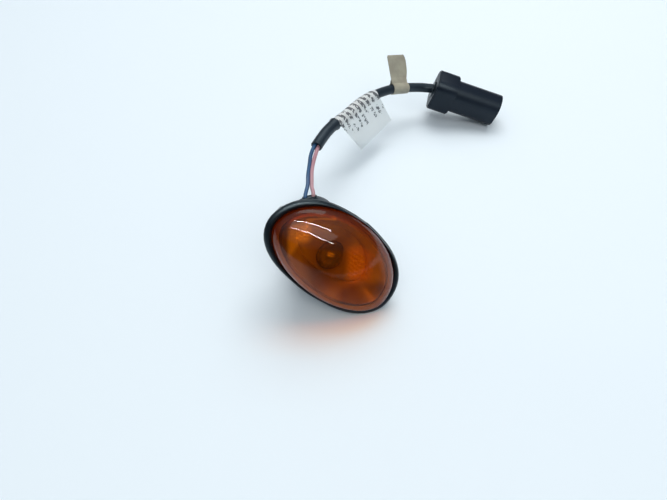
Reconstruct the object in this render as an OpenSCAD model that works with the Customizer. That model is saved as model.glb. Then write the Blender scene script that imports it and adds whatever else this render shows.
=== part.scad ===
// Oval side indicator lamp for a car, with its short two-wire lead and plug-in connector.
// X runs along the lens, Y points back into the car, Z is up. The origin is the centre of the seat
// on the car's panel: the lens stands out towards -Y and the body and bulb holder reach behind.

/* [Lens] */
// Length of the lens
lens_len = 64; // [58:0.5:70]
// Height of the lens above its widest line
lens_top = 22; // [20:0.5:24]
// Height of the lens below its widest line
lens_bottom = 16.2; // [15:0.2:18]
// Height of the dome over the lens edge
lens_dome = 11.4; // [9:0.2:14]
// Wall of the lens
lens_wall = 2; // [1.5:0.1:2.4]
// Height of each contour step moulded in the dome
contour_step = 0.3; // [0.1:0.05:0.5]
// How far the lens edge stands off the car's panel
lens_stand_off = 5; // [4:0.2:6]

/* [Rubber surround] */
// Width of the front bead at the two ends
bead_end = 3.2; // [2.4:0.1:4]
// Width of the front bead at the top
bead_top = 0.5; // [0.4:0.1:1]
// Width of the front bead at the bottom
bead_bottom = 1.7; // [1:0.1:2.4]
// How far the bead stands in front of the lens edge
bead_lift = 0.5; // [0.2:0.1:0.8]
// Thickness of the foot on the panel
foot_thickness = 0.8; // [0.6:0.1:1]
// Width of the gap in the rear lip
lip_gap = 6; // [3:0.5:9]

/* [Lamp body] */
// Wall of the body
body_wall = 1.6; // [1.2:0.1:2]
// How far the body's tub lies inside the lens edge
tub_inset = 3.6; // [3.4:0.1:4.2]
// Depth of the tub behind the panel
tub_depth = 12; // [11:0.5:14]
// Thickness of the car's panel or bumper skin, behind which the hook and the clip hold
panel_thickness = 2.2; // [2.1:0.1:2.6]
// Inner radius of the neck that takes the bulb holder
neck_bore = 10.2; // [9.6:0.1:10.6]
// Wall of the neck
neck_wall = 1.8; // [1.4:0.1:2.2]
// Distance from the panel to the neck's end
neck_end = 30; // [27:0.5:32]

/* [Bulb and holder] */
// Radius of the bulb holder's cap
cap_radius = 12.1; // [11.5:0.1:12.5]
// Length of the cap
cap_len = 11.8; // [11:0.2:14]
// Radius of the bulb's glass
bulb_radius = 5; // [4.5:0.1:5.4]
// Length of the whole bulb
bulb_len = 26.8; // [24:0.2:28]
// Direction in which the wires leave the cap, in degrees from the lamp's right
outlet_angle = 140; // [120:5:160]

/* [Wires and sleeves] */
// Diameter of each wire
wire_d = 1.9; // [1.5:0.1:1.9]
// Outer diameter of the cable sleeve
sleeve_d = 5.2; // [5.2:0.1:5.8]
// Wall of the cable sleeve
sleeve_wall = 0.5; // [0.4:0.05:0.5]
// Wall of the short sleeve over the start of the cable sleeve
cover_wall = 0.3; // [0.2:0.05:0.5]

/* [Connector] */
// Length of the connector
plug_len = 39; // [36:0.5:44]
// Height of the connector's shroud
shroud_tall = 19.3; // [18.5:0.1:22]
// Thickness of the connector's shroud
shroud_thick = 14.8; // [13.5:0.1:15.5]
// Wall of the shroud
shroud_wall = 1.5; // [1.2:0.1:1.8]
// Depth of the connector's mouth
mouth_depth = 22; // [20:0.5:24]
// Length of the collar at the connector's rear
collar_len = 11.8; // [10:0.2:13]
// Diameter of each contact pin
pin_d = 1.5; // [1.2:0.1:1.8]
// Distance between the two contact pins
pin_pitch = 6; // [5:0.5:7]

/* [Hidden] */
$fn = 64;

// Clearances
seal_gap = 0.1;
running_gap = 0.15;
tube_gap = 0.05;
// Points round the oval of a lofted piece
oval_steps = 64;

// The route of the lead's middle line, from the mouth of the sleeve to the connector
route = [
    [-17.5, 57, 26.5], [-16, 64, 34], [-13.5, 69.5, 40], [-10, 75.5, 46], [-7, 81.5, 52],
    [-3.5, 87.5, 58], [2, 94.5, 65.5], [10.4, 102, 74.6], [19.4, 106.5, 82.2], [26, 108.8, 87.3]
];
// The free stretches of the two wires, between the holder's outlet and the sleeve
blue_route = [[-11.9, 41, 8.6], [-13, 43, 11.5], [-15, 45.5, 14.5], [-16.5, 49, 18], [-18, 53.5, 22]];
pink_route = [
    [-9.5, 40.3, 10.8], [-11, 42, 12], [-12.5, 43.5, 14], [-14.5, 46.5, 17], [-15.5, 50, 20], [-16.5, 53.5, 24]
];
// The direction across which the two wires lie side by side, seen from the lamp's front
facing = [0.5, 0.85, -0.2];
// Where the connector lies: its rear centre and its turn
plug_place = [31.6, 108.3, 91.25];
plug_turn = [43, -25, -17.5];

// The oval of the lens edge, moved inwards, as its half length, its height and its depth
function edge_oval(inset) = [lens_len / 2 - inset, lens_top - inset, lens_bottom - inset];
// A ring of points on an oval at one depth
function oval_ring(oval, y) = [
    for (i = [0:oval_steps - 1])
        let (t = 360 * i / oval_steps)
        [oval[0] * cos(t), y, (sin(t) > 0 ? oval[1] : oval[2]) * sin(t)]
];

// Joins rings of equal count into one skin: capped at both ends, or closed on itself
module skin(rings, closed = false) {
    n = len(rings[0]);
    m = len(rings);
    last = closed ? m - 1 : m - 2;
    sides = [
        for (j = [0:last])
            for (i = [0:n - 1])
                let (a = j * n + i, b = j * n + (i + 1) % n, up = ((j + 1) % m) * n)
                each [[a, b, up + (i + 1) % n], [a, up + (i + 1) % n, up + i]]
    ];
    caps = closed ? [] : [[for (i = [n - 1:-1:0]) i], [for (i = [0:n - 1]) (m - 1) * n + i]];
    polyhedron([for (r = rings) each r], concat(sides, caps), convexity = 8);
}

// A flat plate with the outline of an oval, from depth y0 to depth y1
module oval_plate(oval, y0, y1) {
    translate([0, y1, 0]) rotate([90, 0, 0]) linear_extrude(y1 - y0) oval_outline(oval);
}

module oval_outline(oval) {
    reach = 2 * oval[0];
    intersection() {
        scale([oval[0], oval[1]]) circle(1);
        translate([-reach, 0]) square([2 * reach, reach]);
    }
    intersection() {
        scale([oval[0], oval[2]]) circle(1);
        translate([-reach, -reach]) square([2 * reach, reach]);
    }
}

// A round bar along Y, from y0 to y1
module bar_y(r, y0, y1) {
    translate([0, y0, 0]) rotate([-90, 0, 0]) cylinder(h = y1 - y0, r = r);
}

// Lens
edge_y = -lens_stand_off;
inner_contour = 0.63;
outer_contour = 0.88;
skirt_back = -2.4;

// Depth of the dome's outer face at a share k of its half width
function dome_y(k) = edge_y - lens_dome * sqrt(1 - k * k)
    - (k < outer_contour ? contour_step : 0) - (k < inner_contour ? contour_step : 0);
function inner_dome_y(k) = edge_y - (lens_dome - lens_wall) * sqrt(1 - k * k);

module lens() {
    slope = 0.008;
    outer = [
        0.04, 0.18, 0.34, 0.48, inner_contour - slope, inner_contour + slope, 0.74, 0.82,
        outer_contour - slope, outer_contour + slope, 0.93, 0.97, 0.992
    ];
    inner = [0.992, 0.95, 0.87, 0.76, 0.6, 0.42, 0.22, 0.04];
    skirt = edge_oval(0);
    skirt_in = edge_oval(lens_wall);
    color("orange") skin(concat(
        [for (k = outer) oval_ring(k * skirt, dome_y(k))],
        [oval_ring(skirt, edge_y), oval_ring(skirt, skirt_back), oval_ring(skirt_in, skirt_back)],
        [oval_ring(skirt_in, edge_y)],
        [for (k = inner) oval_ring(k * skirt_in, inner_dome_y(k))]
    ));
}

// Rubber surround
front = edge_y - bead_lift;
foot_back = -foot_thickness / 2;
flange_inset = 0.9;
flange_back = -foot_thickness - seal_gap;
seat_inset = tub_inset - 0.3;
// The bead is wide round both ends of the lens and narrow along its top and bottom
function eased(v) = let (s = min(1, max(0, (v - 0.2) / 0.75))) s * s * (3 - 2 * s);
function bead_width(t) =
    let (side = sin(t) > 0 ? bead_top : bead_bottom)
    side + (bead_end - side) * eased(abs(cos(t)));
// A point beside the lens edge in direction t, moved off by a distance, at one depth
function beside_edge(t, off, y) =
    let (
        o = edge_oval(0), h = sin(t) > 0 ? o[1] : o[2],
        n = [cos(t) / o[0], sin(t) / h] / norm([cos(t) / o[0], sin(t) / h])
    )
    [o[0] * cos(t) + off * n[0], y, h * sin(t) + off * n[1]];
// A ring round the lens: a share of the bead's width, a fixed distance, a shift to the right, a depth
function bead_ring(p) = [
    for (i = [0:oval_steps - 1])
        let (t = 360 * i / oval_steps)
        beside_edge(t, p[0] * bead_width(t) + p[1] + p[2] * cos(t), p[3])
];
bead_section = [
    [0, -0.8, 0, foot_back], [0, -0.8, 0, skirt_back + seal_gap], [0, seal_gap, 0, skirt_back + seal_gap],
    [0, seal_gap, 0, edge_y + 0.2], [0.25, 0.1, 0, front + 0.3], [0.42, 0.06, 0, front],
    [0.56, 0.06, 0, front + 0.03], [0.76, 0.04, 0, front + 0.28], [0.92, 0.02, 0, front + 0.7],
    [1, 0, 0, front + 1.25], [1, 0, 0, front + 1.7], [0.9, 0, 0, front + 2.1], [0.85, 0, 0, front + 2.4],
    [0.85, 0.28, 0.4, front + 2.6], [0.85, 0.35, 0.45, front + 2.95], [0.85, 0.3, 0.4, front + 3.35],
    [0.7, 0.1, 0, front + 3.65], [0.8, -1.05, 0, foot_back]
];
gap_direction = 96;

module surround() {
    color([0.16, 0.18, 0.2]) {
        difference() {
            skin([for (p = bead_section) bead_ring(p)], closed = true);
            // the gap in the rear lip
            translate(beside_edge(gap_direction, 0.85 * bead_top + 0.05, front + 2.42))
                rotate([0, 90 - gap_direction + 2, 0]) translate([-lip_gap / 2, 0, 0]) cube([lip_gap, 1.3, 3]);
        }
        // the foot that lies on the car's panel
        difference() {
            translate([0, 0, 0]) rotate([90, 0, 0]) linear_extrude(foot_thickness)
                polygon([for (q = bead_ring([0.8, -1, 0, 0])) [q[0], q[2]]]);
            oval_plate(edge_oval(seat_inset), -foot_thickness - 1, 1);
        }
    }
}

// Lamp body
neck_start = tub_depth + 6;
neck_radius = neck_bore + neck_wall;

module lamp_body() {
    tub = edge_oval(tub_inset);
    tub_in = edge_oval(tub_inset + body_wall);
    color([0.2, 0.21, 0.23]) difference() {
        union() {
            // the flange that the lens is welded to
            oval_plate(edge_oval(flange_inset), skirt_back, flange_back);
            skin([
                oval_ring(tub, skirt_back + 0.4), oval_ring(tub, tub_depth - 3),
                oval_ring(0.97 * tub, tub_depth - 1.2), oval_ring(0.9 * tub, tub_depth),
                oval_ring(0.5 * tub + 0.5 * [1, 1, 1] * neck_radius, neck_start - 2),
                oval_ring([1, 1, 1] * (neck_radius - 0.2), neck_start + 1)
            ]);
            bar_y(neck_radius, neck_start - 3, neck_end);
            panel_hook();
            clip_post();
            neck_ribs();
        }
        skin([
            oval_ring(tub_in, skirt_back - 1), oval_ring(tub_in, tub_depth - 3 - body_wall),
            oval_ring(0.95 * tub_in, tub_depth - body_wall),
            oval_ring(0.5 * tub_in + 0.4 * [1, 1, 1] * neck_bore, neck_start - 2.5 - body_wall),
            oval_ring([1, 1, 1] * (neck_bore - 0.3), neck_start)
        ]);
        bar_y(neck_bore, neck_start - 3, neck_end + 1);
    }
}

// The fixed hook that goes behind the panel at the right-hand end
module panel_hook() {
    x = lens_len / 2 - tub_inset - 1;
    translate([0, 0, -4]) linear_extrude(8) polygon([
        [x, panel_thickness], [x + 2.6, panel_thickness + 0.2], [x + 2.8, panel_thickness + 1.2],
        [x, panel_thickness + 5]
    ]);
}

// The post at the left-hand end that carries the spring clip
clip_x = -lens_len / 2 + tub_inset;
clip_width = 6;
post_y = tub_depth - 6.2;
module clip_post() {
    translate([clip_x - 0.9, post_y, -clip_width / 2 - 0.5]) cube([1.9, 2.9, clip_width + 1]);
}

module neck_ribs() {
    for (a = [45, 135, 225, 315])
        rotate([0, a, 0]) translate([neck_radius - 0.8, neck_start - 2, -0.7])
            cube([2, neck_end - neck_start - 1.5, 1.4]);
}

// Spring clip that snaps behind the panel
clip_steel = 0.6;
module panel_clip() {
    x = clip_x - 0.95;
    tip = panel_thickness;
    color("silver") translate([0, 0, -clip_width / 2]) linear_extrude(clip_width) polygon([
        [x - clip_steel, post_y + 2.8], [x - clip_steel, post_y + 0.2], [x - 2.25, tip + 1.5],
        [x - 1.2, tip + 0.1], [x - 1.2 + clip_steel, tip + 0.25], [x - 2.25 + 1.3 * clip_steel, tip + 1.6],
        [x, post_y], [x, post_y + 2.8]
    ]);
}

// Reflector
reflector_wall = 1.1;
reflector_floor = 9;
module reflector() {
    rim = edge_oval(tub_inset + body_wall + running_gap);
    floor_oval = [0.62 * rim[0], 0.62 * rim[1], 0.62 * rim[2]];
    depth = reflector_floor - skirt_back;
    color([0.85, 0.85, 0.86]) difference() {
        skin(concat(
            [oval_ring(0.08 * rim, skirt_back + 0.1 + depth - reflector_wall)],
            [for (s = [1, 0.75, 0.5, 0.25, 0])
                oval_ring(
                    rim - [1, 1, 1] * reflector_wall + sin(90 * s) * 0.9 * (floor_oval - rim),
                    skirt_back + 0.1 + (depth - reflector_wall) * s
                )],
            [for (s = [0, 0.25, 0.5, 0.75, 1])
                oval_ring(rim + sin(90 * s) * 0.9 * (floor_oval - rim), skirt_back + 0.1 + depth * s)],
            [oval_ring(0.08 * rim, skirt_back + 0.1 + depth)]
        ));
        bar_y(bulb_radius + 0.8, 0, reflector_floor + 2);
    }
}

// Bulb: a capless bulb, glass and base in one
bulb_tip = neck_end - 1 - bulb_len;
base_len = 8.5;
module bulb() {
    glass_end = bulb_tip + bulb_len - base_len;
    color([0.9, 0.9, 0.85]) union() {
        translate([0, glass_end, 0]) rotate([90, 0, 0]) rotate_extrude() intersection() {
            union() {
                translate([0, bulb_len - base_len - bulb_radius]) circle(bulb_radius);
                square([bulb_radius, bulb_len - base_len - bulb_radius]);
            }
            square([bulb_radius, bulb_len]);
        }
        // the pressed wedge that the contacts grip
        translate([-bulb_radius + 0.4, glass_end - 1, -1.1]) cube([2 * bulb_radius - 0.8, base_len + 1, 2.2]);
    }
}

// Bulb holder
plug_in = 8;
socket_half = bulb_radius + 0.3;
groove_y = neck_end - 3;
cord_r = 0.8;
holder_radius = neck_bore - running_gap;
module bulb_holder() {
    cap_end = neck_end + 0.4 + cap_len;
    color([0.13, 0.14, 0.16]) difference() {
        union() {
            bar_y(holder_radius, neck_end - plug_in, neck_end + 2);
            translate([0, neck_end + 0.4, 0]) rotate([-90, 0, 0]) rotate_extrude() polygon([
                [0, 0], [cap_radius - 0.4, 0], [cap_radius, 0.4], [cap_radius, cap_len - 1.2],
                [cap_radius - 0.35, cap_len - 0.35], [cap_radius - 1.2, cap_len], [0, cap_len]
            ]);
        }
        // the socket for the bulb's wedge, with room for a contact on each side
        translate([-socket_half, neck_end - plug_in - 1, -1.3]) cube([2 * socket_half, plug_in + 1, 2.6]);
        // the groove of the seal
        translate([0, groove_y, 0]) rotate([-90, 0, 0]) rotate_extrude()
            translate([holder_radius - 2 * cord_r + 0.1, -cord_r - 0.1]) square([2, 2 * cord_r + 0.2]);
        // the finger recesses in the cap's end
        for (side = [-1, 1])
            translate([-side * 4 - 1.1, cap_end - 2.4, -5.5]) cube([2.2, 3, 11]);
        outlet_bulk(0);
    }
}

module holder_seal() {
    color([0.3, 0.12, 0.1]) translate([0, groove_y, 0]) rotate([-90, 0, 0]) rotate_extrude()
        translate([neck_bore - cord_r - 0.02, 0]) circle(cord_r, $fn = 24);
}

module bulb_contact(side) {
    y0 = neck_end - plug_in + 0.5;
    color([0.8, 0.7, 0.4]) mirror([side < 0 ? 1 : 0, 0, 0])
        translate([0, 0, 1.15]) linear_extrude(0.12) polygon([
            [1.2, y0], [3.6, y0], [4, y0 + 3], [4, y0 + plug_in - 0.8], [1.6, y0 + plug_in - 0.8],
            [1.2, y0 + 3]
        ]);
}

// Rubber outlet in the side of the cap, with a hole for each wire
outlet_y = neck_end + cap_len - 2.4;
outlet_reach = cap_radius + 0.5;
outlet_r = 1.7;
outlet_depth = 5;
wire_gap = 2;
outlet_out = [cos(outlet_angle), 0, sin(outlet_angle)];
outlet_across = [-sin(outlet_angle), 0, cos(outlet_angle)];
function outlet_point(side, radius) =
    [0, outlet_y, 0] + radius * outlet_out + side * wire_gap * outlet_across;

module outlet_bulk(inset) {
    translate([0, outlet_y, 0]) rotate([0, -outlet_angle, 0]) translate([outlet_reach - outlet_depth, 0, 0])
        rotate([0, 90, 0]) linear_extrude(outlet_depth) union() {
            for (side = [-1, 1])
                translate([side * wire_gap, 0]) circle(outlet_r - inset);
            square([2 * wire_gap, 2 * (outlet_r - inset)], center = true);
        }
}

module wire_outlet() {
    color([0.08, 0.08, 0.09]) difference() {
        outlet_bulk(0.05);
        for (side = [-1, 1])
            translate([0, outlet_y, 0]) rotate([0, -outlet_angle, 0])
                translate([outlet_reach - outlet_depth + 1, 0, side * wire_gap])
                rotate([0, 90, 0]) cylinder(h = outlet_depth, r = wire_d / 2 + tube_gap);
    }
}

// Curves through hand-chosen points
function unit(v) = v / norm(v);
function curve_point(p, i, t) =
    let (
        n = len(p), b = p[i], c = p[i + 1],
        a = i > 0 ? p[i - 1] : 2 * b - c,
        d = i + 2 < n ? p[i + 2] : 2 * c - b
    )
    0.5 * (2 * b + (c - a) * t + (2 * a - 5 * b + 4 * c - d) * t * t + (3 * b - 3 * c + d - a) * t * t * t);
function curve(p, steps) = concat(
    [for (i = [0:len(p) - 2]) for (s = [0:steps - 1]) curve_point(p, i, s / steps)], [p[len(p) - 1]]
);
function tangent(p, i) = unit(p[min(i + 1, len(p) - 1)] - p[max(i - 1, 0)]);
// The direction in which the wires lie side by side at a point of a curve
function beside(p, i) = unit(cross(facing, tangent(p, i)));
function round_ring(centre, along, r, sides) =
    let (s = unit(cross(facing, along)), n = cross(along, s))
    [for (k = [0:sides - 1]) let (a = -360 * k / sides) centre + r * (cos(a) * s + sin(a) * n)];
function tube_ring(p, i, r, sides) = round_ring(p[i], tangent(p, i), r, sides);
function shifted(p, off) = [for (i = [0:len(p) - 1]) p[i] + off * beside(p, i)];

module tube(p, r, sides) {
    skin([for (i = [0:len(p) - 1]) tube_ring(p, i, r, sides)]);
}

// A hollow tube along the points first to last of a curve
module sleeve(p, first, last, outer_r, inner_r, sides) {
    skin(concat(
        [for (i = [first:last]) tube_ring(p, i, outer_r, sides)],
        [for (i = [last:-1:first]) tube_ring(p, i, inner_r, sides)]
    ), closed = true);
}

// Connector frame: its own X runs from the rear to the mouth, Z is its tall side
function turn_x(v, a) = [v[0], v[1] * cos(a) - v[2] * sin(a), v[1] * sin(a) + v[2] * cos(a)];
function turn_y(v, a) = [v[0] * cos(a) + v[2] * sin(a), v[1], -v[0] * sin(a) + v[2] * cos(a)];
function turn_z(v, a) = [v[0] * cos(a) - v[1] * sin(a), v[0] * sin(a) + v[1] * cos(a), v[2]];
function at_plug(v) = plug_place + turn_z(turn_y(turn_x(v, plug_turn[0]), plug_turn[1]), plug_turn[2]);
module in_plug() {
    translate(plug_place) rotate(plug_turn) children();
}

// Lead
seal_depth = 4;
chamber_depth = 9;
lead = concat(curve(concat(route, [at_plug([-1.2, 0, 0])]), 2), [at_plug([seal_depth - 1, 0, 0])]);
wire_side = 1;
sleeve_sides = 12;
wire_sides = 8;

function wire_path(side, free) = concat(
    [outlet_point(side, outlet_reach - outlet_depth + 1.2)],
    [outlet_point(side, outlet_reach + 0.3)],
    free,
    [lead[0] - side * wire_side * beside(lead, 0)],
    [for (i = [1:len(lead) - 1]) shifted(lead, -side * wire_side)[i]],
    [at_plug([chamber_depth - 2, 0, side * pin_pitch / 2]), at_plug([chamber_depth, 0, side * pin_pitch / 2])]
);

module blue_wire() {
    color([0.2, 0.35, 0.55]) tube(wire_path(1, blue_route), wire_d / 2, wire_sides);
}

module pink_wire() {
    color([0.8, 0.6, 0.65]) tube(wire_path(-1, pink_route), wire_d / 2, wire_sides);
}

module cable_sleeve() {
    color([0.12, 0.13, 0.15])
        sleeve(lead, 0, len(lead) - 1, sleeve_d / 2, sleeve_d / 2 - sleeve_wall, sleeve_sides);
}

// The short sleeve ends in a small flare
cover_last = 4;
module sleeve_cover() {
    inner = sleeve_d / 2 + tube_gap;
    outer = inner + cover_wall;
    along = tangent(lead, cover_last);
    color([0.1, 0.11, 0.13]) skin(concat(
        [for (i = [0:cover_last - 1]) tube_ring(lead, i, outer, sleeve_sides)],
        [round_ring(lead[cover_last] - 1.8 * along, along, outer, sleeve_sides)],
        [tube_ring(lead, cover_last, outer + 0.5, sleeve_sides)],
        [for (i = [cover_last:-1:0]) tube_ring(lead, i, inner, sleeve_sides)]
    ), closed = true);
}

// Wrapped label: one sheet, nearly once round the sleeve and then straight on as a free flag
label_last = 12;
label_thickness = 0.25;
label_turn = 330;
label_steps = 12;
flag_steps = 4;
flag_low = [[12, 80.5, 39], [20, 96, 61.5]];
label_radius = sleeve_d / 2 + 2 * tube_gap + label_thickness / 2;
// Places and outward directions along the sheet, for one cut across the sleeve at centre c
function label_path(c, along, low) =
    let (
        s = unit(cross(facing, along)), n = cross(along, s),
        reach = [(low - c) * s, (low - c) * n],
        leave = atan2(reach[1], reach[0]) - acos(label_radius / norm(reach)),
        edge = c + label_radius * (cos(leave) * s + sin(leave) * n)
    )
    concat(
        [for (k = [0:label_steps])
            let (a = leave + label_turn * (k / label_steps - 1), out = cos(a) * s + sin(a) * n)
            [c + label_radius * out, out]],
        [for (k = [1:flag_steps])
            [edge + k / flag_steps * (low - edge), unit(cross(low - edge, along))]]
    );

// A thin sheet through a grid of places and directions, each row from one end of the sheet to the other
module sheet(grid, thickness) {
    m = len(grid);
    n = len(grid[0]);
    back = m * n;
    faces = concat(
        [for (j = [0:m - 2]) for (i = [0:n - 2])
            let (a = j * n + i, b = a + 1, c = b + n, d = a + n)
            each [
                [a, d, c], [a, c, b], [back + a, back + c, back + d], [back + a, back + b, back + c]
            ]],
        [for (j = [0:m - 2]) for (i = [0, n - 1])
            let (a = j * n + i, d = a + n)
            each i == 0 ? [[a, back + d, d], [a, back + a, back + d]] : [[a, d, back + d], [a, back + d, back + a]]],
        [for (i = [0:n - 2]) for (j = [0, m - 1])
            let (a = j * n + i, b = a + 1)
            each j == 0 ? [[a, b, back + b], [a, back + b, back + a]] : [[a, back + b, b], [a, back + a, back + b]]]
    );
    polyhedron(concat(
        [for (row = grid) for (q = row) q[0] + q[1] * thickness / 2],
        [for (row = grid) for (q = row) q[0] - q[1] * thickness / 2]
    ), faces, convexity = 6);
}

module wrap_label() {
    start = lead[cover_last] + 0.4 * tangent(lead, cover_last);
    end = lead[label_last] - 1.3 * tangent(lead, label_last);
    places = concat([start], [for (i = [cover_last + 1:label_last - 1]) lead[i]], [end]);
    count = len(places) - 1;
    color("white") sheet([
        for (i = [0:count])
            label_path(
                places[i], tangent(lead, cover_last + i),
                flag_low[0] + (flag_low[1] - flag_low[0]) * i / count
            )
    ], label_thickness);
}

// Loop tag: a strip laid round the lead, up on one side, over the top and down on the other.
// Each station is the distance in front of the lead, the height over it and the shift along it.
tag_width = 11;
tag_thickness = 0.25;
tag_ring = sleeve_d / 2 + 0.5;
tag_at = cover_last + 11;
tag_along = tangent(lead, tag_at);
tag_lean = [-0.7, 0.27, 0.66];
tag_up = unit(tag_lean - (tag_lean * tag_along) * tag_along);
tag_front = cross(tag_along, tag_up);
tag_place = (lead[tag_at - 1] + 2 * lead[tag_at] + lead[tag_at + 1]) / 4 - 3 * tag_along;
tag_path = concat(
    [for (a = [66:-24:-246]) [tag_ring * cos(a), tag_ring * sin(a), 0.5 + (66 - a) / 450]],
    [
        [-1, 4.1, 1.4], [-0.7, 6, 2], [-0.6, 9, 2.4], [-0.6, 12, 2.3], [-0.6, 15, 2], [-0.5, 17, 1.2],
        [-0.2, 18, 0.3], [0.25, 18.1, -0.5], [0.55, 17.2, -1.1], [0.55, 15, -0.8], [0.5, 12, -0.3],
        [0.5, 9, 0.1], [0.6, 6, 0.5], [1, 4.1, 0.6]
    ]
);
module loop_tag() {
    n = len(tag_path);
    rings = [
        for (i = [0:n - 1])
            let (
                before = tag_path[(i + n - 1) % n], after = tag_path[(i + 1) % n],
                run = unit([after[0] - before[0], after[1] - before[1]]),
                out = (run[1] * tag_front - run[0] * tag_up) * tag_thickness / 2,
                side = tag_along * tag_width / 2,
                centre = tag_place + tag_path[i][0] * tag_front + tag_path[i][1] * tag_up
                    + tag_path[i][2] * tag_along
            )
            [centre - side - out, centre - side + out, centre + side + out, centre + side - out]
    ];
    color([0.75, 0.7, 0.58]) skin(rings, closed = true);
}

// Connector
mouth_start = plug_len - mouth_depth;
module stadium(tall, thick, x0, x1) {
    translate([x0, 0, 0]) rotate([90, 0, 90]) linear_extrude(x1 - x0) union() {
        for (side = [-1, 1])
            translate([0, side * (tall - thick) / 2]) circle(thick / 2);
        square([thick, tall - thick], center = true);
    }
}

module rounded_block(tall, thick, r, x0, x1) {
    translate([x0, 0, 0]) rotate([90, 0, 90]) linear_extrude(x1 - x0) union() {
        square([thick - 2 * r, tall], center = true);
        square([thick, tall - 2 * r], center = true);
        for (y = [-1, 1])
            for (z = [-1, 1])
                translate([y * (thick / 2 - r), z * (tall / 2 - r)]) circle(r);
    }
}

collar_tall = shroud_tall + 2.4;
collar_thick = shroud_thick + 1;
seal_radius = 5;
module connector_body() {
    color([0.13, 0.14, 0.17]) in_plug() difference() {
        union() {
            stadium(shroud_tall, shroud_thick, 0.5, plug_len);
            rounded_block(collar_tall, collar_thick, 5, 0.6, collar_len);
            rounded_block(collar_tall - 1.2, collar_thick - 1.2, 4.4, 0, collar_len + 0.6);
            lock_ramp();
            guide_ribs();
        }
        stadium(shroud_tall - 2 * shroud_wall, shroud_thick - 2 * shroud_wall, mouth_start, plug_len + 1);
        // the chamber behind the pins, open to the rear
        translate([-1, 0, 0]) rotate([0, 90, 0]) cylinder(h = chamber_depth + 1, r = seal_radius);
        for (side = [-1, 1])
            translate([chamber_depth - 1, 0, side * pin_pitch / 2]) rotate([0, 90, 0])
                cylinder(h = mouth_start - chamber_depth + 2, r = pin_d / 2);
    }
}

// The ramp behind which the mating plug's latch snaps, on the far side
module lock_ramp() {
    y = shroud_thick / 2;
    translate([0, 0, -2.5]) linear_extrude(5) polygon([
        [plug_len - 12, y - 0.5], [plug_len - 12, y + 1.3], [plug_len - 10.6, y + 1.3],
        [plug_len - 5, y + 0.2], [plug_len - 5, y - 0.5]
    ]);
}

module guide_ribs() {
    for (z = [-2.4, 1.2])
        translate([collar_len, shroud_thick / 2 - 1, z]) cube([12, 1.9, 1.2]);
}

module rear_seal() {
    color([0.1, 0.1, 0.11]) in_plug() difference() {
        translate([-0.6, 0, 0]) rotate([0, 90, 0]) union() {
            cylinder(h = seal_depth + 0.6, r = seal_radius - 0.4);
            for (x = [1.6, 3.2])
                translate([0, 0, x]) cylinder(h = 0.7, r = seal_radius - 0.03);
        }
        translate([-2, 0, 0]) rotate([0, 90, 0]) cylinder(h = seal_depth + 3, r = sleeve_d / 2 + tube_gap);
    }
}

pin_tip = mouth_start + 13.5;
module pin(side) {
    color([0.75, 0.75, 0.72]) in_plug() translate([0, 0, side * pin_pitch / 2]) rotate([0, 90, 0]) union() {
        translate([0, 0, chamber_depth]) cylinder(h = pin_tip - 1 - chamber_depth, r = pin_d / 2);
        translate([0, 0, pin_tip - 1]) cylinder(h = 1, r1 = pin_d / 2, r2 = 0.35);
    }
}

// The coloured lock that sits on the mouth's floor round the pins
module pin_lock() {
    color([0.75, 0.35, 0.2]) in_plug() difference() {
        stadium(shroud_tall - 2 * shroud_wall - 3, shroud_thick - 2 * shroud_wall - 3, mouth_start, mouth_start + 4);
        for (side = [-1, 1])
            translate([mouth_start - 1, 0, side * pin_pitch / 2]) rotate([0, 90, 0])
                cylinder(h = 6, r = pin_d / 2 + 0.4);
    }
}

module mouth_seal() {
    color([0.65, 0.3, 0.15]) in_plug() difference() {
        stadium(shroud_tall - 2 * shroud_wall - 0.1, shroud_thick - 2 * shroud_wall - 0.1, mouth_start, mouth_start + 2);
        stadium(shroud_tall - 2 * shroud_wall - 2.6, shroud_thick - 2 * shroud_wall - 2.6, mouth_start - 1, mouth_start + 3);
    }
}

lens();
surround();
lamp_body();
reflector();
panel_clip();
bulb();
bulb_holder();
holder_seal();
bulb_contact(-1);  // bulb_contact_left
bulb_contact(1);  // bulb_contact_right
wire_outlet();
blue_wire();
pink_wire();
cable_sleeve();
sleeve_cover();
wrap_label();
loop_tag();
connector_body();
rear_seal();
pin(1);  // pin_upper
pin(-1);  // pin_lower
pin_lock();
mouth_seal();
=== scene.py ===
"""Looks of an oval side indicator lamp with its two-wire lead, labels and connector.

Sizes are written in millimetres and turned into metres by mm(). X runs along the lens,
Y goes back into the car and Z is up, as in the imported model.
"""

import math

import bmesh
import bpy
from mathutils import Matrix, Vector


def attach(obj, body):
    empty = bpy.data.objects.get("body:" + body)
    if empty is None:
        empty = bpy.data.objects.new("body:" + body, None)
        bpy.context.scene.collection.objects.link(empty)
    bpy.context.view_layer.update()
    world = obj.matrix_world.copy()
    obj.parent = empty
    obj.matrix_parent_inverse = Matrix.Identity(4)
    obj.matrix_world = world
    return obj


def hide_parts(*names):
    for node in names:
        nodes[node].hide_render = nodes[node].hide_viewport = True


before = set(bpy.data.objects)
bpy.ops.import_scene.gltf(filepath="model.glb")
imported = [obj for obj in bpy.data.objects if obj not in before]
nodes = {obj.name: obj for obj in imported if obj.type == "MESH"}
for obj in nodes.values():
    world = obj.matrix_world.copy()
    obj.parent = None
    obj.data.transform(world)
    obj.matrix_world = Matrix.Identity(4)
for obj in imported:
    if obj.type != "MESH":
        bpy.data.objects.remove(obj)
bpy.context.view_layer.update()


def mm(point):
    """A point or direction in millimetres as a vector in metres."""
    return Vector(point) * 0.001


def select_only(piece):
    """Makes piece the only selected object and the active one."""
    bpy.ops.object.select_all(action="DESELECT")
    piece.select_set(True)
    bpy.context.view_layer.objects.active = piece


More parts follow.
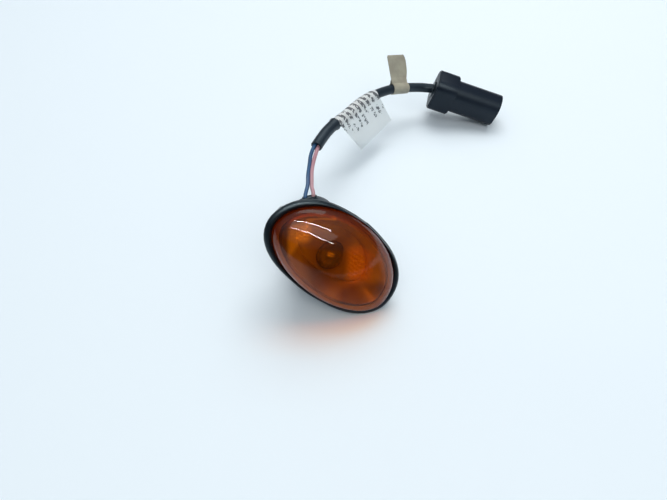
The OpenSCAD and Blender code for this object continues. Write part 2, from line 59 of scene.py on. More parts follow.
# The photographed view
# The lamp keeps its own frame. It was photographed lying on a table, so the table's plane
# leans in that frame, and the camera looks down on it.

camera_place = mm((-125.26, -221.89, 55.89))
camera_right = Vector((0.69386, -0.22632, 0.68362))
camera_down = Vector((0.53942, -0.46556, -0.70162))
camera_ahead = Vector((0.47706, 0.85559, -0.20095))
picture_width_px = 667
focal_px = 600
table_up = Vector((-0.7116, -0.3610, 0.6027)).normalized()
table_level = -26.143


def add_camera():
    camera_data = bpy.data.cameras.new("photo_view")
    camera_data.sensor_width = 36
    camera_data.lens = focal_px / picture_width_px * 36
    camera_data.clip_start = 0.01
    camera_data.clip_end = 20
    camera = bpy.data.objects.new("photo_view", camera_data)
    bpy.context.scene.collection.objects.link(camera)
    turn = Matrix((camera_right, -camera_down, -camera_ahead)).transposed()
    camera.matrix_world = Matrix.Translation(camera_place) @ turn.to_4x4()
    bpy.context.scene.camera = camera


add_camera()

# Shared effects


def add_sockets(group, direction, sockets):
    for name, kind, value in sockets:
        socket = group.interface.new_socket(name=name, in_out=direction, socket_type=kind)
        if value is not None:
            socket.default_value = value


def moulded_finish_group():
    """Two tones in soft patches, a roughness that varies with them, and a fine grain."""
    group = bpy.data.node_groups.new("moulded_finish", "ShaderNodeTree")
    add_sockets(
        group,
        "INPUT",
        [
            ("Tone", "NodeSocketColor", (0.5, 0.5, 0.5, 1)),
            ("Other Tone", "NodeSocketColor", (0.5, 0.5, 0.5, 1)),
            ("Patch Scale", "NodeSocketFloat", 60),
            ("Smoothest", "NodeSocketFloat", 0.4),
            ("Roughest", "NodeSocketFloat", 0.6),
            ("Grain Scale", "NodeSocketFloat", 2500),
            ("Grain Depth", "NodeSocketFloat", 0.2),
        ],
    )
    add_sockets(
        group,
        "OUTPUT",
        [
            ("Colour", "NodeSocketColor", None),
            ("Roughness", "NodeSocketFloat", None),
            ("Normal", "NodeSocketVector", None),
        ],
    )
    make, link = group.nodes.new, group.links.new
    inputs = make("NodeGroupInput")
    outputs = make("NodeGroupOutput")
    place = make("ShaderNodeTexCoord")
    patches = make("ShaderNodeTexNoise")
    patches.inputs["Detail"].default_value = 4
    link(place.outputs["Object"], patches.inputs["Vector"])
    link(inputs.outputs["Patch Scale"], patches.inputs["Scale"])
    spread = make("ShaderNodeMapRange")
    spread.inputs["From Min"].default_value = 0.35
    spread.inputs["From Max"].default_value = 0.65
    link(patches.outputs["Fac"], spread.inputs["Value"])
    tones = make("ShaderNodeMix")
    tones.data_type = "RGBA"
    link(spread.outputs["Result"], tones.inputs["Factor"])
    link(inputs.outputs["Tone"], tones.inputs["A"])
    link(inputs.outputs["Other Tone"], tones.inputs["B"])
    rough = make("ShaderNodeMapRange")
    link(patches.outputs["Fac"], rough.inputs["Value"])
    link(inputs.outputs["Smoothest"], rough.inputs["To Min"])
    link(inputs.outputs["Roughest"], rough.inputs["To Max"])
    grain = make("ShaderNodeTexNoise")
    grain.inputs["Detail"].default_value = 2
    link(place.outputs["Object"], grain.inputs["Vector"])
    link(inputs.outputs["Grain Scale"], grain.inputs["Scale"])
    bump = make("ShaderNodeBump")
    bump.inputs["Distance"].default_value = 0.0001
    link(grain.outputs["Fac"], bump.inputs["Height"])
    link(inputs.outputs["Grain Depth"], bump.inputs["Strength"])
    link(tones.outputs["Result"], outputs.inputs["Colour"])
    link(rough.outputs["Result"], outputs.inputs["Roughness"])
    link(bump.outputs["Normal"], outputs.inputs["Normal"])
    return group


moulded_finish = moulded_finish_group()


def finish_material(
    name, tone, other_tone, rough, grain=0.2, patch_scale=60, grain_scale=2500, **shader_values
):
    """A material whose colour, roughness and grain come from the shared finish.

    rough is the lowest and highest roughness. shader_values go to the shader's own sockets.
    """
    material = bpy.data.materials.new(name)
    material.use_nodes = True
    tree = material.node_tree
    shader = tree.nodes["Principled BSDF"]
    effect = tree.nodes.new("ShaderNodeGroup")
    effect.node_tree = moulded_finish
    effect.inputs["Tone"].default_value = (*tone, 1)
    effect.inputs["Other Tone"].default_value = (*other_tone, 1)
    effect.inputs["Patch Scale"].default_value = patch_scale
    effect.inputs["Smoothest"].default_value = rough[0]
    effect.inputs["Roughest"].default_value = rough[1]
    effect.inputs["Grain Scale"].default_value = grain_scale
    effect.inputs["Grain Depth"].default_value = grain
    tree.links.new(effect.outputs["Colour"], shader.inputs["Base Color"])
    tree.links.new(effect.outputs["Roughness"], shader.inputs["Roughness"])
    tree.links.new(effect.outputs["Normal"], shader.inputs["Normal"])
    for socket, value in shader_values.items():
        shader.inputs[socket.replace("_", " ")].default_value = value
    return material


# A blue tint on the reflections of the dark plastics and rubber: a painted reflection of a bluish room.
painted_blue_reflection = (0.72, 0.90, 1, 1)
soft_rubber = finish_material(
    "soft_rubber", (0.003, 0.006, 0.010), (0.008, 0.013, 0.018), (0.24, 0.35), Specular_Tint=painted_blue_reflection
)
black_plastic = finish_material(
    "black_plastic", (0.001, 0.004, 0.012), (0.004, 0.008, 0.018), (0.34, 0.46), grain=0.3,
    Specular_IOR_Level=0.3, Specular_Tint=painted_blue_reflection
)
sleeve_plastic = finish_material(
    "sleeve_plastic", (0.006, 0.011, 0.019), (0.014, 0.022, 0.033), (0.30, 0.45), grain=0.15,
    Specular_Tint=painted_blue_reflection
)
blue_insulation = finish_material(
    "blue_insulation", (0.018, 0.075, 0.170), (0.030, 0.100, 0.225), (0.30, 0.45), grain=0.1
)
pink_insulation = finish_material(
    "pink_insulation", (0.42, 0.20, 0.24), (0.54, 0.30, 0.34), (0.35, 0.5), grain=0.1
)
rust_rubber = finish_material("rust_rubber", (0.30, 0.09, 0.03), (0.38, 0.13, 0.05), (0.45, 0.6))
tinned_brass = finish_material(
    "tinned_brass", (0.62, 0.58, 0.48), (0.72, 0.70, 0.62), (0.22, 0.38), grain=0.1, Metallic=1
)
spring_steel = finish_material(
    "spring_steel", (0.50, 0.50, 0.50), (0.62, 0.62, 0.62), (0.25, 0.40), grain=0.15, Metallic=1
)
beige_tag = finish_material(
    "beige_tag", (0.30, 0.28, 0.22), (0.38, 0.36, 0.28), (0.55, 0.7), grain=0.5,
    patch_scale=180, grain_scale=4000
)
clear_glass = finish_material(
    "clear_glass", (0.42, 0.36, 0.30), (0.50, 0.44, 0.38), (0.08, 0.2), grain=0,
    IOR=1.5, Transmission_Weight=0.75
)


def dot_with(tree, place, direction):
    """The distance of each point along a direction, in millimetres."""
    along = tree.nodes.new("ShaderNodeVectorMath")
    along.operation = "DOT_PRODUCT"
    tree.links.new(place, along.inputs[0])
    along.inputs[1].default_value = Vector(direction).normalized() * 1000
    return along.outputs["Value"]


def blend_colours(tree, share, first, second):
    """A mix of two colours, each a socket or a plain colour."""
    mix = tree.nodes.new("ShaderNodeMix")
    mix.data_type = "RGBA"
    tree.links.new(share, mix.inputs["Factor"])
    for socket, colour in (("A", first), ("B", second)):
        if isinstance(colour, tuple):
            mix.inputs[socket].default_value = (*colour, 1)
        else:
            tree.links.new(colour, mix.inputs[socket])
    return mix.outputs["Result"]


def zone_group():
    """A soft-edged field between two lows and two highs of two distances."""
    group = bpy.data.node_groups.new("soft_field", "ShaderNodeTree")
    names = ["Across", "Down", "Across Low", "Across High", "Down Low", "Down High", "Softness"]
    add_sockets(group, "INPUT", [(name, "NodeSocketFloat", 1) for name in names])
    add_sockets(group, "OUTPUT", [("Mask", "NodeSocketFloat", None)])
    make, link = group.nodes.new, group.links.new
    inputs, outputs = make("NodeGroupInput"), make("NodeGroupOutput")
    masks = []
    for distance in ("Across", "Down"):
        for end in ("Low", "High"):
            inwards = make("ShaderNodeMath")
            inwards.operation = "SUBTRACT"
            pair = (distance, distance + " Low") if end == "Low" else (distance + " High", distance)
            for socket, name in zip(inwards.inputs, pair):
                link(inputs.outputs[name], socket)
            share = make("ShaderNodeMath")
            share.operation = "DIVIDE"
            link(inwards.outputs["Value"], share.inputs[0])
            link(inputs.outputs["Softness"], share.inputs[1])
            eased = make("ShaderNodeMapRange")
            eased.interpolation_type = "SMOOTHSTEP"
            eased.inputs["From Min"].default_value = -0.5
            eased.inputs["From Max"].default_value = 0.5
            link(share.outputs["Value"], eased.inputs["Value"])
            masks.append(eased.outputs["Result"])
    while len(masks) > 1:
        both = make("ShaderNodeMath")
        both.operation = "MULTIPLY"
        link(masks.pop(), both.inputs[0])
        link(masks.pop(), both.inputs[1])
        masks.insert(0, both.outputs["Value"])
    link(masks[0], outputs.inputs["Mask"])
    return group


soft_field = zone_group()


def field_mask(tree, across, down, limits, softness):
    """A soft_field in a material. limits are across low and high, then down low and high."""
    field = tree.nodes.new("ShaderNodeGroup")
    field.node_tree = soft_field
    tree.links.new(across, field.inputs["Across"])
    tree.links.new(down, field.inputs["Down"])
    for name, value in zip(("Across Low", "Across High", "Down Low", "Down High"), limits):
        field.inputs[name].default_value = value
    field.inputs["Softness"].default_value = softness
    return field.outputs["Mask"]


def object_place(tree):
    return tree.nodes.new("ShaderNodeTexCoord").outputs["Object"]


# Fields of the reflector in the order in which they are laid over each other. Each has its low
# and high limits across and down, in millimetres, its softness and its colour. Across and down
# are the reflector's diagonals, which run level and upright in the photo.
# The bright fields are painted reflections and a painted highlight, the dark end is painted shade, and
# the middle and the low end are only darker.
across_reflector = (1, 0, 1)
down_reflector = (1, 0, -1)
reflector_fields = {
    "darker middle": ((-9, 8, -8, 11), 7, (0.30, 0.235, 0.18)),
    "dark end": ((-26, -16.5, -24, 0), 3, (0.20, 0.17, 0.15)),
    "low end": ((3, 22, 12, 28), 5, (0.20, 0.15, 0.12)),
    "left pebbles and painted reflection": ((-16.5, -7.5, -18, -6.5), 3, (1, 1, 0.95)),
    "right pebbles and painted reflection": ((7, 15.5, -1, 12), 4, (0.72, 0.50, 0.31)),
    "painted highlight strip": ((-10, 1, -19.5, -17.3), 1.5, (0.97, 0.92, 0.85)),
}
pebble_scale = 800
pebble_depth = 0.0004


def bright_reflector_material():
    """Bright coat, darker in the middle, with painted shade and painted reflections in fields over it,
    and a pebbled field of cells towards each end.
    """
    material = finish_material(
        "bright_reflector", (0.42, 0.37, 0.33), (0.54, 0.48, 0.43), (0.4, 0.55), grain=0, Metallic=0.5
    )
    tree = material.node_tree
    shader = tree.nodes["Principled BSDF"]
    place = object_place(tree)
    across = dot_with(tree, place, across_reflector)
    down = dot_with(tree, place, down_reflector)
    colour = tree.nodes["Group"].outputs["Colour"]
    masks = {}
    for name, (limits, softness, tone) in reflector_fields.items():
        masks[name] = field_mask(tree, across, down, limits, softness)
        colour = blend_colours(tree, masks[name], colour, tone)
    tree.links.new(colour, shader.inputs["Base Color"])
    cells = tree.nodes.new("ShaderNodeTexVoronoi")
    cells.inputs["Scale"].default_value = pebble_scale
    cells.inputs["Randomness"].default_value = 0.45
    tree.links.new(place, cells.inputs["Vector"])
    pebbled = tree.nodes.new("ShaderNodeMath")
    pebbled.operation = "ADD"
    # The pebble cells lie under the two painted reflections.
    tree.links.new(masks["left pebbles and painted reflection"], pebbled.inputs[0])
    tree.links.new(masks["right pebbles and painted reflection"], pebbled.inputs[1])
    height = tree.nodes.new("ShaderNodeMath")
    height.operation = "MULTIPLY"
    tree.links.new(cells.outputs["Distance"], height.inputs[0])
    tree.links.new(pebbled.outputs["Value"], height.inputs[1])
    bump = tree.nodes.new("ShaderNodeBump")
    bump.inputs["Strength"].default_value = 0.7
    bump.inputs["Distance"].default_value = pebble_depth
    tree.links.new(height.outputs["Value"], bump.inputs["Height"])
    tree.links.new(bump.outputs["Normal"], shader.inputs["Normal"])
    return material


flange_coat_y = (-0.7, -1.0)


def coated_body_material():
    """Black plastic whose front flange, behind the lens edge, carries the reflector's coat."""
    material = finish_material(
        "coated_body", (0.010, 0.012, 0.020), (0.016, 0.019, 0.028), (0.36, 0.50), grain=0.35
    )
    tree = material.node_tree
    depth = dot_with(tree, object_place(tree), (0, 1, 0))
    front = tree.nodes.new("ShaderNodeMapRange")
    front.inputs["From Min"].default_value, front.inputs["From Max"].default_value = flange_coat_y
    tree.links.new(depth, front.inputs["Value"])
    bare = tree.nodes["Group"].outputs["Colour"]
    colour = blend_colours(tree, front.outputs["Result"], bare, (0.38, 0.32, 0.29))
    tree.links.new(colour, tree.nodes["Principled BSDF"].inputs["Base Color"])
    return material


# The lens is thicker towards its edge, so its amber deepens between these depths. The colours
# are the glass as it is seen, and the share of light that it passes on to what is behind it.
edge_deepens_y = (-10, -6)
edge_amber = (0.42, 0.11, 0.015)
passed_by_dome = (0.975, 0.68, 0.15)
passed_by_edge = (0.66, 0.32, 0.06)


def amber_lens_material(name, rough, ripple, ripple_scale):
    """Amber glass, faintly rippled. Light reaches the reflector through it."""
    material = finish_material(
        name, (0.93, 0.40, 0.02), (0.93, 0.46, 0.02), rough, grain=ripple, grain_scale=ripple_scale,
        IOR=1.40, Transmission_Weight=1
    )
    tree = material.node_tree
    glass = tree.nodes["Principled BSDF"]
    depth = dot_with(tree, object_place(tree), (0, 1, 0))
    thick = tree.nodes.new("ShaderNodeMapRange")
    thick.interpolation_type = "SMOOTHSTEP"
    thick.inputs["From Min"].default_value, thick.inputs["From Max"].default_value = edge_deepens_y
    tree.links.new(depth, thick.inputs["Value"])
    edge_share = thick.outputs["Result"]
    seen = blend_colours(tree, edge_share, tree.nodes["Group"].outputs["Colour"], edge_amber)
    tree.links.new(seen, glass.inputs["Base Color"])
    clear = tree.nodes.new("ShaderNodeBsdfTransparent")
    passed = blend_colours(tree, edge_share, passed_by_dome, passed_by_edge)
    tree.links.new(passed, clear.inputs["Color"])
    path = tree.nodes.new("ShaderNodeLightPath")
    lighting = path.outputs["Is Shadow Ray"]
    for kind in ("Is Diffuse Ray", "Is Glossy Ray"):
        either = tree.nodes.new("ShaderNodeMath")
        either.operation = "MAXIMUM"
        tree.links.new(lighting, either.inputs[0])
        tree.links.new(path.outputs[kind], either.inputs[1])
        lighting = either.outputs["Value"]
    mix = tree.nodes.new("ShaderNodeMixShader")
    tree.links.new(lighting, mix.inputs["Fac"])
    tree.links.new(glass.outputs["BSDF"], mix.inputs[1])
    tree.links.new(clear.outputs["BSDF"], mix.inputs[2])
    tree.links.new(mix.outputs["Shader"], tree.nodes["Material Output"].inputs["Surface"])
    return material


# The wrap label's print: rows of dashes across the cable, each row a few lines of small cells.
# Lengths are in millimetres and shares are of one.
row_run = Vector((0.945, 0.25, -0.13))
row_rise = Vector((-0.03, 0.595, 0.803))
cable_run = -37.8
cable_run_per_rise = 0.504
on_cable_reach, print_reach = 2.5, 12
row_pitch, row_share = 3.9, 0.52
cell_height, cell_width = 0.65, 0.62
blank_cells, blank_cells_less_on_cable = 0.5, 0.28
word_scale, word_level, more_words_on_cable = 320, 0.47, 0.2
ink_cover = 0.8
label_glow = 0.45


def white_label_material():
    """White film with plain rows of dark dashes across the cable, and nothing that can be read."""
    material = finish_material(
        "white_label", (0.95, 0.98, 0.99), (0.98, 1.0, 1.0), (0.35, 0.5), grain=0.1
    )
    tree = material.node_tree
    place = object_place(tree)
    rise = dot_with(tree, place, row_rise)
    run = dot_with(tree, place, row_run)

    def maths(operation, first, second=0):
        node = tree.nodes.new("ShaderNodeMath")
        node.operation = operation
        for socket, value in zip(node.inputs, (first, second)):
            if isinstance(value, (int, float)):
                socket.default_value = value
            else:
                tree.links.new(value, socket)
        return node.outputs["Value"]

    # how far out from the cable, which leans against the rows
    cable = maths("MULTIPLY", rise, cable_run_per_rise)
    out = maths("SUBTRACT", maths("SUBTRACT", run, cable_run), cable)
    on_cable = maths("LESS_THAN", out, on_cable_reach)
    in_row = maths("LESS_THAN", maths("FRACT", maths("DIVIDE", rise, row_pitch)), row_share)
    spot = tree.nodes.new("ShaderNodeCombineXYZ")
    tree.links.new(maths("FLOOR", maths("DIVIDE", rise, cell_height)), spot.inputs["X"])
    tree.links.new(maths("FLOOR", maths("DIVIDE", run, cell_width)), spot.inputs["Y"])
    chance = tree.nodes.new("ShaderNodeTexWhiteNoise")
    tree.links.new(spot.outputs["Vector"], chance.inputs["Vector"])
    words = tree.nodes.new("ShaderNodeTexNoise")
    words.inputs["Scale"].default_value = word_scale
    words.inputs["Detail"].default_value = 0
    tree.links.new(place, words.inputs["Vector"])
    wordy = maths("ADD", words.outputs["Fac"], maths("MULTIPLY", on_cable, more_words_on_cable))
    blank = maths("SUBTRACT", blank_cells, maths("MULTIPLY", on_cable, blank_cells_less_on_cable))
    printed = maths("MULTIPLY", in_row, maths("GREATER_THAN", chance.outputs["Value"], blank))
    printed = maths("MULTIPLY", printed, maths("GREATER_THAN", wordy, word_level))
    printed = maths("MULTIPLY", printed, maths("LESS_THAN", out, print_reach))
    film = tree.nodes["Group"].outputs["Colour"]
    ink = blend_colours(tree, maths("MULTIPLY", printed, ink_cover), film, (0.04, 0.055, 0.075))
    shader = tree.nodes["Principled BSDF"]
    tree.links.new(ink, shader.inputs["Base Color"])
    glow = tree.nodes.new("ShaderNodeBsdfTranslucent")
    tree.links.new(ink, glow.inputs["Color"])
    mix = tree.nodes.new("ShaderNodeMixShader")
    mix.inputs["Fac"].default_value = label_glow
    tree.links.new(shader.outputs["BSDF"], mix.inputs[1])
    tree.links.new(glow.outputs["BSDF"], mix.inputs[2])
    tree.links.new(mix.outputs["Shader"], tree.nodes["Material Output"].inputs["Surface"])
    return material


bright_reflector = bright_reflector_material()
coated_body = coated_body_material()
amber_lens = amber_lens_material("amber_lens", (0, 0.02), ripple=0.05, ripple_scale=350)
amber_optic = amber_lens_material("amber_optic", (0.20, 0.30), ripple=0.3, ripple_scale=900)
white_label = white_label_material()

# The lead

route = [
    (-17.5, 57, 26.5), (-16, 64, 34), (-13.5, 69.5, 40), (-10, 75.5, 46), (-7, 81.5, 52),
    (-3.5, 87.5, 58), (2, 94.5, 65.5), (10.4, 102, 74.6), (19.4, 106.5, 82.2), (26, 108.8, 87.3),
]
blue_route = [(-11.9, 41, 8.6), (-13, 43, 11.5), (-15, 45.5, 14.5), (-16.5, 49, 18), (-18, 53.5, 22)]
pink_route = [
    (-9.5, 40.3, 10.8), (-11, 42, 12), (-12.5, 43.5, 14), (-14.5, 46.5, 17), (-15.5, 50, 20),
    (-16.5, 53.5, 24),
]
facing = Vector((0.5, 0.85, -0.2))
plug_place = Vector((31.6, 108.3, 91.25))
plug_turn = (
    Matrix.Rotation(math.radians(-17.5), 3, "Z")
    @ Matrix.Rotation(math.radians(-25), 3, "Y")
    @ Matrix.Rotation(math.radians(43), 3, "X")
)
wire_d = 1.9
sleeve_d = 5.2
sleeve_wall = 0.5
seal_depth = 4
chamber_depth = 9
pin_pitch = 6
outlet_angle = math.radians(140)
outlet_y = 39.4
outlet_reach = 12.6
wires_start_in_outlet = 3.8
wires_leave_outlet = 0.3
sleeve_last_bend = 1.2
outlet_wire_gap = 2
curve_steps = 2


def at_plug(point):
    return plug_place + plug_turn @ Vector(point)


def curve_point(points, i, t):
    """A point between points i and i + 1 of a smooth curve through them all."""
    b, c = points[i], points[i + 1]
    a = points[i - 1] if i > 0 else 2 * b - c
    d = points[i + 2] if i + 2 < len(points) else 2 * c - b
    return 0.5 * (
        2 * b + (c - a) * t + (2 * a - 5 * b + 4 * c - d) * t * t + (3 * b - 3 * c + d - a) * t**3
    )


def curve(points, steps):
    smooth = [curve_point(points, i, s / steps) for i in range(len(points) - 1) for s in range(steps)]
    return smooth + [points[-1]]


def tangent(points, i):
    return (points[min(i + 1, len(points) - 1)] - points[max(i - 1, 0)]).normalized()


def beside(along):
    """The direction in which the two wires lie side by side."""
    return facing.cross(along).normalized()


lead = curve([Vector(p) for p in route] + [at_plug((-sleeve_last_bend, 0, 0))], curve_steps)
lead.append(at_plug((seal_depth - 1, 0, 0)))


def outlet_point(side, radius):
    out = Vector((math.cos(outlet_angle), 0, math.sin(outlet_angle)))
    across = Vector((-math.sin(outlet_angle), 0, math.cos(outlet_angle)))
    return Vector((0, outlet_y, 0)) + radius * out + side * outlet_wire_gap * across


def wire_path(side, free):
    inside = [p - side * beside(tangent(lead, i)) for i, p in enumerate(lead)]
    start = [
        outlet_point(side, outlet_reach - wires_start_in_outlet),
        outlet_point(side, outlet_reach + wires_leave_outlet),
    ]
    end = [at_plug((depth, 0, side * pin_pitch / 2)) for depth in (chamber_depth - 2, chamber_depth)]
    return start + [Vector(p) for p in free] + inside + end


def cord_curve(name, points, diameter, material):
    """A round cord along one smooth open spline through points, in millimetres."""
    shape = bpy.data.curves.new(name, "CURVE")
    shape.dimensions = "3D"
    shape.resolution_u = 6
    shape.bevel_depth = diameter / 2 * 0.001
    shape.bevel_resolution = 6
    spline = shape.splines.new("BEZIER")
    spline.bezier_points.add(len(points) - 1)
    for i, knot in enumerate(spline.bezier_points):
        along = tangent(points, i)
        before = (points[i] - points[i - 1]).length / 3 if i else 0.3
        after = (points[i + 1] - points[i]).length / 3 if i + 1 < len(points) else 0.3
        knot.handle_left_type = knot.handle_right_type = "FREE"
        knot.co = mm(points[i])
        knot.handle_left = mm(points[i] - along * before)
        knot.handle_right = mm(points[i] + along * after)
    piece = bpy.data.objects.new(name, shape)
    bpy.context.scene.collection.objects.link(piece)
    shape.materials.append(material)
    return piece


def tube_mesh(name, points, diameter, wall, material):
    """A hollow tube along points: the round cord's skin with a wall added inwards."""
    piece = cord_curve(name, points, diameter, material)
    select_only(piece)
    bpy.ops.object.convert(target="MESH")
    skin = piece.modifiers.new("wall", "SOLIDIFY")
    skin.thickness = wall * 0.001
    skin.offset = -1
    bpy.ops.object.modifier_apply(modifier="wall")
    bpy.ops.object.shade_smooth_by_angle(angle=math.radians(40))
    return piece


blue_points = wire_path(1, blue_route)
pink_points = wire_path(-1, pink_route)
blue_wire = cord_curve("blue_wire_piece", blue_points, wire_d, blue_insulation)
pink_wire = cord_curve("pink_wire_piece", pink_points, wire_d, pink_insulation)
cable_sleeve = tube_mesh("cable_sleeve_piece", lead, sleeve_d, sleeve_wall, sleeve_plastic)

# Lens and reflector

oval_sides = 128
lens_half, lens_top, lens_bottom = 32, 22, 16.2
edge_y, skirt_back, lens_dome, lens_wall = -5, -2.4, 11.4, 2

# The contour lines of the lens, as shares of its size: low soft steps outside, ridges inside.
contours = (0.63, 0.88)
contour_step = 0.3
contour_blend = 0.05
ridge_height = 0.15
ridge_half_width = 0.005
pole_reach = 2
reflector_rim = (26.65, 16.65, 10.85)
reflector_rim_y, reflector_floor_y = -2.3, 9
reflector_floor_narrower = 0.342
reflector_wall = 1
bulb_hole = 5.2


def select_where(piece, wanted):
    """Selects the vertices at places that wanted() says yes to, and no others."""
    bpy.ops.mesh.select_mode(type="VERT")
    bpy.ops.mesh.select_all(action="DESELECT")
    mesh = bmesh.from_edit_mesh(piece.data)
    for vertex in mesh.verts:
        vertex.select = wanted(vertex.co * 1000)
    mesh.select_flush_mode()
    bmesh.update_edit_mesh(piece.data)


below_axis = -0.00001


def drawn_oval(name, sections):
    """A skin drawn out ring by ring.

    A section is its half length, its height above, its height below and its depth.
    """
    bpy.ops.object.select_all(action="DESELECT")
    bpy.ops.mesh.primitive_circle_add(
        vertices=oval_sides, radius=0.001, rotation=(math.pi / 2, 0, 0)
    )
    piece = bpy.context.object
    piece.name = piece.data.name = name
    bpy.ops.object.transform_apply(location=True, rotation=True, scale=True)
    bpy.ops.object.mode_set(mode="EDIT")
    bpy.ops.mesh.select_mode(type="VERT")
    bpy.ops.mesh.select_all(action="SELECT")
    now = (1, 1, 1, 0)
    for i, section in enumerate(sections):
        if i:
            bpy.ops.mesh.extrude_region_move()
        bpy.ops.transform.translate(value=(0, (section[3] - now[3]) * 0.001, 0))
        growth = (section[0] / now[0], 1, section[1] / now[1])
        bpy.ops.transform.resize(value=growth, center_override=(0, 0, 0))
        mesh = bmesh.from_edit_mesh(piece.data)
        ring = [vertex.index for vertex in mesh.verts if vertex.select]
        lower = [vertex for vertex in mesh.verts if vertex.select and vertex.co.z < below_axis]
        bpy.ops.mesh.select_all(action="DESELECT")
        for vertex in lower:
            vertex.select = True
        mesh.select_flush_mode()
        bmesh.update_edit_mesh(piece.data)
        fall = (section[2] / now[2]) / (section[1] / now[1])
        bpy.ops.transform.resize(value=(1, 1, fall), center_override=(0, 0, 0))
        mesh = bmesh.from_edit_mesh(piece.data)
        mesh.verts.ensure_lookup_table()
        for index in ring:
            mesh.verts[index].select = True
        mesh.select_flush_mode()
        bmesh.update_edit_mesh(piece.data)
        now = section
    return piece


def lens_sections():
    """From the top of the dome outwards, round the skirt and back inside to the middle."""
    angles = (2, 5, 9, 14, 19, 24, 29, 34, 39, 44, 49, 54, 59, 64, 69, 74, 79, 83, 86, 88.5)
    sections = []
    for angle in angles:
        share = math.sin(math.radians(angle))
        steps = [1 / (1 + math.exp((share - contour) / contour_blend)) for contour in contours]
        risen = contour_step * sum(steps)
        depth = edge_y - lens_dome * math.cos(math.radians(angle)) - risen
        sections.append((share * lens_half, share * lens_top, share * lens_bottom, depth))
    outer = (lens_half, lens_top, lens_bottom)
    inner = tuple(size - lens_wall for size in outer)
    sections += [(*outer, edge_y), (*outer, skirt_back), (*inner, skirt_back), (*inner, edge_y)]
    ridge_shares = (0.012, 0.004, -0.004, -0.012)
    shares = [math.sin(math.radians(angle)) for angle in (88, 85, 81, 76, 71)]
    shares += [contours[1] + offset for offset in ridge_shares]
    shares += [math.sin(math.radians(angle)) for angle in (57, 52, 47, 43)]
    shares += [contours[0] + offset for offset in ridge_shares]
    shares += [math.sin(math.radians(angle)) for angle in (35, 30, 25, 20, 15, 10, 6, 2)]
    for share in shares:
        depth = edge_y - (lens_dome - lens_wall) * math.sqrt(1 - share * share)
        on_ridge = min(abs(share - contour) for contour in contours) < ridge_half_width
        sections.append((*(size * share for size in inner), depth + ridge_height * on_ridge))
    return sections


def close_ring(piece, wanted):
    """Fills the open ring of vertices that wanted() picks, as a fan round its middle."""
    select_where(piece, wanted)
    bpy.ops.mesh.edge_face_add()
    bpy.ops.mesh.poke()


def finish_piece(piece, material, angle):
    bpy.ops.object.mode_set(mode="OBJECT")
    select_only(piece)
    bpy.ops.object.shade_smooth_by_angle(angle=math.radians(angle))
    piece.data.materials.clear()
    piece.data.materials.append(material)


def make_lens():
    """A closed solid: a clear dome outside, and the frosted and ridged optic inside."""
    sections = lens_sections()
    piece = drawn_oval("lens_piece", sections)
    for pole in (sections[0][3], sections[-1][3]):
        close_ring(piece, lambda place: abs(place.y - pole) < 0.001 and abs(place.x) < pole_reach)
    bpy.ops.mesh.select_all(action="SELECT")
    bpy.ops.mesh.normals_make_consistent(inside=False)
    finish_piece(piece, amber_lens, 50)
    piece.data.materials.append(amber_optic)
    bpy.ops.object.mode_set(mode="EDIT")
    bpy.ops.mesh.select_mode(type="FACE")
    bpy.ops.mesh.select_all(action="DESELECT")
    mesh = bmesh.from_edit_mesh(piece.data)
    for face in mesh.faces:
        face.select = face.normal.y > 0.02 and face.calc_center_median().y < edge_y * 0.001
    mesh.select_flush_mode()
    bmesh.update_edit_mesh(piece.data)
    piece.active_material_index = 1
    bpy.ops.object.material_slot_assign()
    bpy.ops.object.mode_set(mode="OBJECT")
    return piece


def make_reflector():
    """A bowl with a flat floor round the bulb's hole, given its wall on the outside."""
    bowl_depth = reflector_floor_y - reflector_rim_y
    sections = []
    for share in (0, 0.1, 0.2, 0.3, 0.42, 0.54, 0.66, 0.78, 0.9, 1):
        narrowing = 1 - reflector_floor_narrower * math.sin(math.radians(90 * share))
        ring = (size * narrowing for size in reflector_rim)
        sections.append((*ring, reflector_rim_y + bowl_depth * share))
    last = sections[-1]
    for share in (0.25, 0.55, 0.85, 1):
        ring = (size + (bulb_hole - size) * share for size in last[:3])
        sections.append((*ring, reflector_floor_y))
    piece = drawn_oval("reflector_piece", sections)
    bpy.ops.mesh.select_all(action="SELECT")
    bpy.ops.mesh.normals_make_consistent(inside=True)
    bpy.ops.object.mode_set(mode="OBJECT")
    skin = piece.modifiers.new("wall", "SOLIDIFY")
    skin.thickness = reflector_wall * 0.001
    skin.offset = 1
    bpy.ops.object.modifier_apply(modifier="wall")
    finish_piece(piece, bright_reflector, 40)
    return piece


def stands_for(piece, node_name):
    """Hides the CAD node that a piece stands for, and attaches the piece to the root body."""
    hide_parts(node_name)
    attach(piece, "root")


stands_for(blue_wire, "blue_wire")
stands_for(pink_wire, "pink_wire")
stands_for(cable_sleeve, "cable_sleeve")
stands_for(make_lens(), "lens")
stands_for(make_reflector(), "reflector")

# The other pieces

node_finishes = {
    "surround": soft_rubber,
    "lamp_body": coated_body,
    "panel_clip": spring_steel,
    "bulb": clear_glass,
    "bulb_holder": black_plastic,
    "holder_seal": rust_rubber,
    "bulb_contact_left": tinned_brass,
    "bulb_contact_right": tinned_brass,
    "wire_outlet": soft_rubber,
    "sleeve_cover": sleeve_plastic,
    "wrap_label": white_label,
    "loop_tag": beige_tag,
    "connector_body": black_plastic,
    "rear_seal": soft_rubber,
    "pin_upper": tinned_brass,
    "pin_lower": tinned_brass,
    "pin_lock": rust_rubber,
    "mouth_seal": rust_rubber,
}


weld_gap = 0.002
flat_angle, sharp_angle, smooth_angle = 0.5, 40, 35


